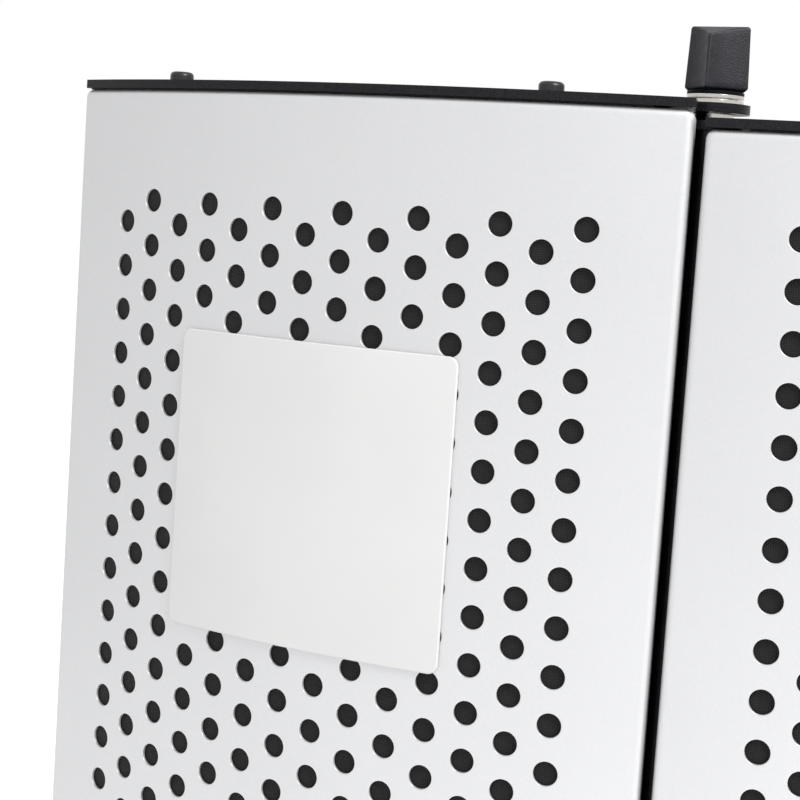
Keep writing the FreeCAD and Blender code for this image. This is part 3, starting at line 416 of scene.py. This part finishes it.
def perforated_shell(wing):
    side = SIDES[wing]
    low, high = (corner.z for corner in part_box(f"{wing}_perforated_shell"))
    shift, lift = FIELD[wing]
    top_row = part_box("badge_wing_perforated_shell")[1].z - TOP_MARGIN + lift
    middle = (WING_GAP + WING_ARC) / 2 + shift
    start = middle - COLUMNS / 2 * COLUMN
    field_top = top_row + PITCH / 2
    inner_low, inner_high = WING_GAP / 2 + CORNER, WING_GAP / 2 + WING_ARC - CORNER

    across = even(inner_low, start, 7)[:-1]
    first_field = len(across)
    across += even(start, start + COLUMNS * COLUMN, COLUMNS * CELL_ACROSS)
    last_field = len(across) - 1
    across += even(across[-1], inner_high, 7)[1:]
    upward = even(low + CORNER, field_top - ROWS * PITCH, 6)[:-1]
    first_up = len(upward)
    upward += even(field_top - ROWS * PITCH, field_top, ROWS * CELL_UP)
    last_up = len(upward) - 1
    upward += even(field_top, high - CORNER, 6)[1:]

    made = bmesh.new()
    sheets = []
    for _ in range(2):
        sheets.append([[None] * len(upward) for _ in across])

    def corner(sheet, i, j):
        column = sheets[sheet][i]
        if column[j] is None:
            column[j] = made.verts.new(on_arc(side, across[i], upward[j], SKIN * sheet))
        return column[j]

    taken = set()
    for column in range(COLUMNS):
        left = first_field + column * CELL_ACROSS
        staggered = column % 2
        for row in range(ROWS - staggered):
            bottom = last_up - (row + 1) * CELL_UP - staggered * CELL_UP // 2
            for i in range(CELL_ACROSS):
                for j in range(CELL_UP):
                    taken.add((left + i, bottom + j))
            edge = [(left, bottom + j) for j in range(CELL_UP)]
            edge += [(left + i, bottom + CELL_UP) for i in range(CELL_ACROSS)]
            edge += [(left + CELL_ACROSS, bottom + CELL_UP - j) for j in range(CELL_UP)]
            edge += [(left + CELL_ACROSS - i, bottom) for i in range(CELL_ACROSS)]
            centre = (across[left] + COLUMN / 2, upward[bottom] + PITCH / 2)
            headings = [math.atan2(upward[j] - centre[1], across[i] - centre[0])
                        for i, j in edge]
            even_turn = [headings[0] - math.tau * k / len(edge) for k in range(len(edge))]

            def ring(radius, depth, blend=1.0):
                points = []
                for heading, regular in zip(headings, even_turn):
                    gap = math.remainder(regular - heading, math.tau)
                    turn = heading + gap * blend
                    points.append(made.verts.new(on_arc(
                        side, centre[0] + radius * math.cos(turn),
                        centre[1] + radius * math.sin(turn), depth,
                    )))
                return points

            rings = [[corner(0, i, j) for i, j in edge]]
            rings += [ring(HOLE + out * MM, down * MM) for out, down in ROLLED]
            rings += [ring(HOLE, SKIN), [corner(1, i, j) for i, j in edge]]
            for first, second in zip(rings, rings[1:]):
                join_rings(made, first, second)

    for i in range(len(across) - 1):
        for j in range(len(upward) - 1):
            if (i, j) not in taken:
                for sheet in (0, 1):
                    add_face(made, (corner(sheet, i, j), corner(sheet, i + 1, j),
                                    corner(sheet, i + 1, j + 1), corner(sheet, i, j + 1)))

    last_i, last_j = len(across) - 1, len(upward) - 1
    border = []
    sides = (
        ([(i, 0) for i in range(last_i + 1)], (0, -1)),
        ([(last_i, j) for j in range(last_j + 1)], (1, 0)),
        ([(i, last_j) for i in range(last_i, -1, -1)], (0, 1)),
        ([(0, j) for j in range(last_j, -1, -1)], (-1, 0)),
    )
    for spots, heading in sides:
        border += [(spot, heading) for spot in spots]
        turn = math.atan2(heading[1], heading[0])
        for step in (1, 2, 3):
            bent = turn + math.pi / 2 * step / 4
            border.append((spots[-1], (math.cos(bent), math.sin(bent))))

    def border_ring(out, depth):
        return [
            made.verts.new(on_arc(
                side, across[i] + heading[0] * out, upward[j] + heading[1] * out, depth,
            ))
            for (i, j), heading in border
        ]

    flat = CORNER - FOLD
    rings = {0: [], 1: []}
    for sheet, radius in ((0, FOLD), (1, FOLD - SKIN)):
        rings[sheet].append([corner(sheet, i, j) for (i, j), _ in border])
        for step in range(6):
            bend = math.pi / 2 * step / 5
            out = flat + radius * math.sin(bend)
            down = FOLD - radius * math.cos(bend)
            rings[sheet].append(border_ring(out, down))
        for share in (0.5, 1.0):
            rings[sheet].append(border_ring(flat + radius, FOLD + (PAN - FOLD) * share))
        for first, second in zip(rings[sheet], rings[sheet][1:]):
            join_rings(made, first, second)
    join_rings(made, rings[0][-1], rings[1][-1])
    return finish_mesh(f"{wing}_shell_skin", made, "silver_steel", wing,
                       [f"{wing}_perforated_shell"], sharp=50)


for name in SIDES:
    perforated_shell(name)


# ---- cloth, fibre and foam ---------------------------------------------------------------------

PAN_INSIDE = (19.4 * MM, WING_GAP / 2 + WING_ARC - 3.8 * MM)     # along the arc
EASE = 0.2 * MM                      # room above and below a soft layer

def slab(name, wing, alongs, ups, near, far, slot, stands_for, sharp=60):
    """Closed layer on the wing's arc between two depths, each a function of along and up."""
    side = SIDES[wing]
    made = bmesh.new()
    flat = made.loops.layers.uv.new("cut")
    spots = {}
    sheets = []
    for depth in (near, far):
        rows = []
        for along in alongs:
            row = []
            for up in ups:
                vertex = made.verts.new(on_arc(side, along, up, depth(along, up)))
                spots[vertex] = (along, up)
                row.append(vertex)
            rows.append(row)
        for first, second in zip(rows, rows[1:]):
            join_rings(made, first, second, closed=False)
        sheets.append(rows)
    front, back = sheets
    for edge_of in (
        lambda rows: rows[0], lambda rows: rows[-1],
        lambda rows: [row[0] for row in rows], lambda rows: [row[-1] for row in rows],
    ):
        join_rings(made, edge_of(front), edge_of(back), closed=False)
    for face in made.faces:
        for loop in face.loops:
            loop[flat].uv = spots[loop.vert]
    return finish_mesh(name, made, slot, wing, [stands_for], sharp)


def rounding(along, up, ends, heights, radius):
    """How far a face drops near its border, so that the border is round."""
    near_border = min(along - ends[0], ends[1] - along, up - heights[0], heights[1] - up)
    share = max(0.0, 1 - max(near_border, 0.0) / radius)
    return radius * (1 - math.sqrt(max(0.0, 1 - share * share)))


def graded(start, end, count, radius):
    """Even divisions with finer ones in the rounding at both ends."""
    fine = [radius * share for share in (0.0, 0.06, 0.2, 0.45, 0.75)]
    inner = even(start + radius, end - radius, count)
    return [start + step for step in fine] + inner + [end - step for step in reversed(fine)]


def uneven(along, up, scale, seed):
    return noise.noise(Vector((along * scale, up * scale, seed)))


def acoustic_cloth(wing):
    """Black cloth stretched over the fibre mat, which pushes it softly towards the holes."""
    node = f"{wing}_acoustic_cloth"
    low, high = (corner.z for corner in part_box(node))
    ends, heights = PAN_INSIDE, (low + EASE, high - EASE)

    def outer(along, up):
        return 1.5 * MM + 0.22 * MM * uneven(along, up, 90, 3.0)

    def inner(along, up):
        return outer(along, up) + 0.35 * MM

    piece = slab(f"{wing}_grille_cloth", wing, even(*ends, 90), even(*heights, 110),
                 outer, inner, "acoustic_cloth", node)


def fibre_mat(wing):
    node = f"{wing}_fibre_mat"
    low, high = (corner.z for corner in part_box(node))
    ends, heights = PAN_INSIDE, (low + EASE, high - EASE)

    def outer(along, up):
        lump = 0.35 * MM * (1 + uneven(along, up, 60, 11.0))
        return 2.5 * MM + lump + rounding(along, up, ends, heights, 4 * MM)

    def inner(along, up):
        lump = 0.35 * MM * (1 + uneven(along, up, 45, 17.0))
        return 24.1 * MM - lump - rounding(along, up, ends, heights, 4 * MM)

    piece = slab(f"{wing}_needled_mat", wing, graded(*ends, 60, 4 * MM),
                 graded(*heights, 70, 4 * MM), outer, inner, "fibre_mat", node)


RIDGES = 10
FOAM_BACK, FOAM_BASE, FOAM_FRONT = 29.3 * MM, 35.5 * MM, 46.9 * MM


def foam_pad(wing):
    """Wedge foam: upright ridges with soft crests and valleys, cut edges slightly round."""
    node = f"{wing}_foam_pad"
    low, high = (corner.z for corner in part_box(node))
    ends = (11.6 * MM, WING_GAP / 2 + WING_ARC - 0.3 * MM)
    heights = (low + EASE, high - EASE)
    soften = 0.955
    least = math.acos(soften)

    def ridged(along, up):
        phase = RIDGES * (along - ends[0]) / (ends[1] - ends[0])
        wave = math.acos(soften * math.cos(math.tau * phase))
        share = (wave - least) / (math.pi - 2 * least)
        depth = FOAM_BASE + (FOAM_FRONT - FOAM_BASE) * share
        depth += 0.25 * MM * uneven(along, up, 40, 23.0)
        return depth - rounding(along, up, ends, heights, 2.5 * MM)

    def flat_back(along, up):
        return FOAM_BACK + 0.1 * MM * (1 + uneven(along, up, 50, 29.0))

    piece = slab(f"{wing}_wedge_foam", wing, graded(*ends, RIDGES * 20, 2.5 * MM),
                 graded(*heights, 60, 2.5 * MM), flat_back, ridged, "foam", node, sharp=80)


for name in SIDES:
    acoustic_cloth(name)
    fibre_mat(name)
    foam_pad(name)


# ---- knobs -------------------------------------------------------------------------------------

COLLAR, COLLAR_TALL = 9.2 * MM, 1.2 * MM
GRIP_BASE, GRIP_TOP, GRIP_TALL = 10.6 * MM, 9.9 * MM, 20.8 * MM
SCOOP, WAIST = 26 * MM, 6.7 * MM
CORNER_HEADING = math.radians(-10.5)
ROOF = math.tan(math.radians(18))
POCKET, POCKET_TALL = 5.05 * MM, 12.1 * MM
AROUND = 160
# darker plastic that paints shade onto the knobs' collar and underside
COLLAR_SHADE_LOOK = painted_shade_plastic()


def grip_radius(heading, share):
    """Four hollow facets between sharp corners, slimmer towards the free end."""
    corner = GRIP_BASE + (GRIP_TOP - GRIP_BASE) * share
    off = math.remainder(heading - CORNER_HEADING - math.pi / 4, math.pi / 2)
    away = SCOOP + WAIST - 0.3 * MM * share
    facet = away * math.cos(off) - math.sqrt(SCOOP ** 2 - (away * math.sin(off)) ** 2)
    blend = 0.25 * MM
    gap = max(blend - abs(corner - facet), 0.0) / blend
    return min(corner, facet) - gap * gap * blend / 4


def knob(name, body, away=1):
    """Collar, chamfered foot, tapered four-sided grip and roof-like top, over the nut's pocket."""
    low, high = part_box(name)
    east, north = (low.x + high.x) / 2, (low.y + high.y) / 2
    seat = low.z if away > 0 else high.z
    made = bmesh.new()
    headings = [math.tau * k / AROUND for k in range(AROUND)]

    def ring(radius_of, tall_of):
        return [
            made.verts.new((
                east + radius_of(heading) * math.cos(heading),
                north + radius_of(heading) * math.sin(heading),
                seat + away * tall_of(heading),
            ))
            for heading in headings
        ]

    def round_ring(radius, tall):
        return ring(lambda heading: radius, lambda heading: tall)

    def grip_ring(inset, share, tall):
        return ring(lambda heading: grip_radius(heading, share) - inset, lambda heading: tall)

    def roof(heading, radius):
        across = abs(radius * math.sin(heading - CORNER_HEADING))
        soft = math.sqrt(across ** 2 + (0.8 * MM) ** 2) - 0.8 * MM
        return COLLAR_TALL + GRIP_TALL - 0.02 * MM - ROOF * soft

    def top_height(heading):
        return roof(heading, grip_radius(heading, 1.0))

    rings = [
        round_ring(POCKET, POCKET_TALL), round_ring(POCKET, 0.3 * MM),
        round_ring(POCKET + 0.3 * MM, 0.0), round_ring(COLLAR - 0.4 * MM, 0.0),
        round_ring(COLLAR - 0.05 * MM, 0.15 * MM), round_ring(COLLAR - 0.02 * MM, 0.5 * MM),
        round_ring(COLLAR - 0.02 * MM, COLLAR_TALL - 0.2 * MM),
        round_ring(COLLAR - 0.3 * MM, COLLAR_TALL),
        grip_ring(1.3 * MM, 0.0, COLLAR_TALL + 0.02 * MM),
        grip_ring(0.25 * MM, 0.0, COLLAR_TALL + 0.9 * MM),
        grip_ring(0.02 * MM, 0.0, COLLAR_TALL + 1.4 * MM),
    ]
    foot = COLLAR_TALL + 1.4 * MM
    bend = 1.0 * MM                  # rounding of the grip's upper edge
    for step in range(1, 11):
        share = step / 10
        rings.append(ring(
            lambda heading, s=share: grip_radius(heading, s) - 0.02 * MM,
            lambda heading, s=share: foot + (top_height(heading) - bend - foot) * s,
        ))
    for step in range(1, 6):
        turn = math.pi / 2 * step / 5
        inset = bend * (1 - math.cos(turn)) + 0.02 * MM
        drop = bend * (1 - math.sin(turn))
        rings.append(ring(
            lambda heading, i=inset: grip_radius(heading, 1.0) - i,
            lambda heading, d=drop: top_height(heading) - d,
        ))
    for share in (0.8, 0.6, 0.4, 0.2, 0.03):
        rings.append(ring(
            lambda heading, s=share: s * (grip_radius(heading, 1.0) - bend),
            lambda heading, s=share: roof(heading, s * grip_radius(heading, 1.0)),
        ))
    for first, second in zip(rings, rings[1:]):
        join_rings(made, first, second)
    add_face(made, rings[0])
    add_face(made, rings[-1])
    piece = finish_mesh(f"{name}_grip", made, "black_plastic", body, [name], sharp=40)
    # the collar, foot and underside faces take the darker plastic, as painted shade
    piece.data.materials.append(COLLAR_SHADE_LOOK)
    for polygon in piece.data.polygons:
        if abs(polygon.center.z - seat) < COLLAR_TALL + 0.8 * MM:
            polygon.material_index = 1


knob("upper_knob", "upper_knob")
knob("lower_knob", "lower_knob", away=-1)
knob("post_knob", "post_knob", away=-1)


# ---- stage -------------------------------------------------------------------------------------

def stage():
    made = Shader("pale_floor", Emission_Color=(1, 1, 1, 1), Emission_Strength=0.2)
    made.link(made.colours(made.noise(3, 3), (0.86, 0.86, 0.86), (0.88, 0.88, 0.88)), "Base Color")
    made.link(made.spread(made.noise(8, 3), 0.8, 0.9), "Roughness")
    mesh = bpy.data.meshes.new("floor")
    reach = 12
    corners = [(-reach, -reach, 0), (reach, -reach, 0), (reach, reach, 0), (-reach, reach, 0)]
    mesh.from_pydata(corners, [], [(0, 1, 2, 3)])
    mesh.materials.append(made.material)
    floor = bpy.data.objects.new("floor", mesh)
    floor.location.z = cad_low.z - 0.0005
    scene.collection.objects.link(floor)


def soft_light(name, place, target, size, power):
    data = bpy.data.lights.new(name, "AREA")
    data.shape = "SQUARE"
    data.size = size
    data.energy = power
    lamp = bpy.data.objects.new(name, data)
    lamp.location = place
    aim = Vector(target) - Vector(place)
    lamp.rotation_mode = "QUATERNION"
    lamp.rotation_quaternion = aim.to_track_quat("-Z", "Y")
    scene.collection.objects.link(lamp)


def studio():
    world = bpy.data.worlds.new("studio")
    world.use_nodes = True
    back = next(n for n in world.node_tree.nodes if n.type == "BACKGROUND")
    back.inputs["Color"].default_value = (1, 1, 1, 1)
    back.inputs["Strength"].default_value = 1.0
    scene.world = world
    scene.view_settings.view_transform = "Standard"
    soft_light("key", (1.2, -1.6, 1.6), (0, 0, 0.2), 1.2, 2.5)
    soft_light("rake", (0.55, -0.5, 1.0), (-0.08, -0.05, 0.25), 0.4, 13)


stage()
studio()
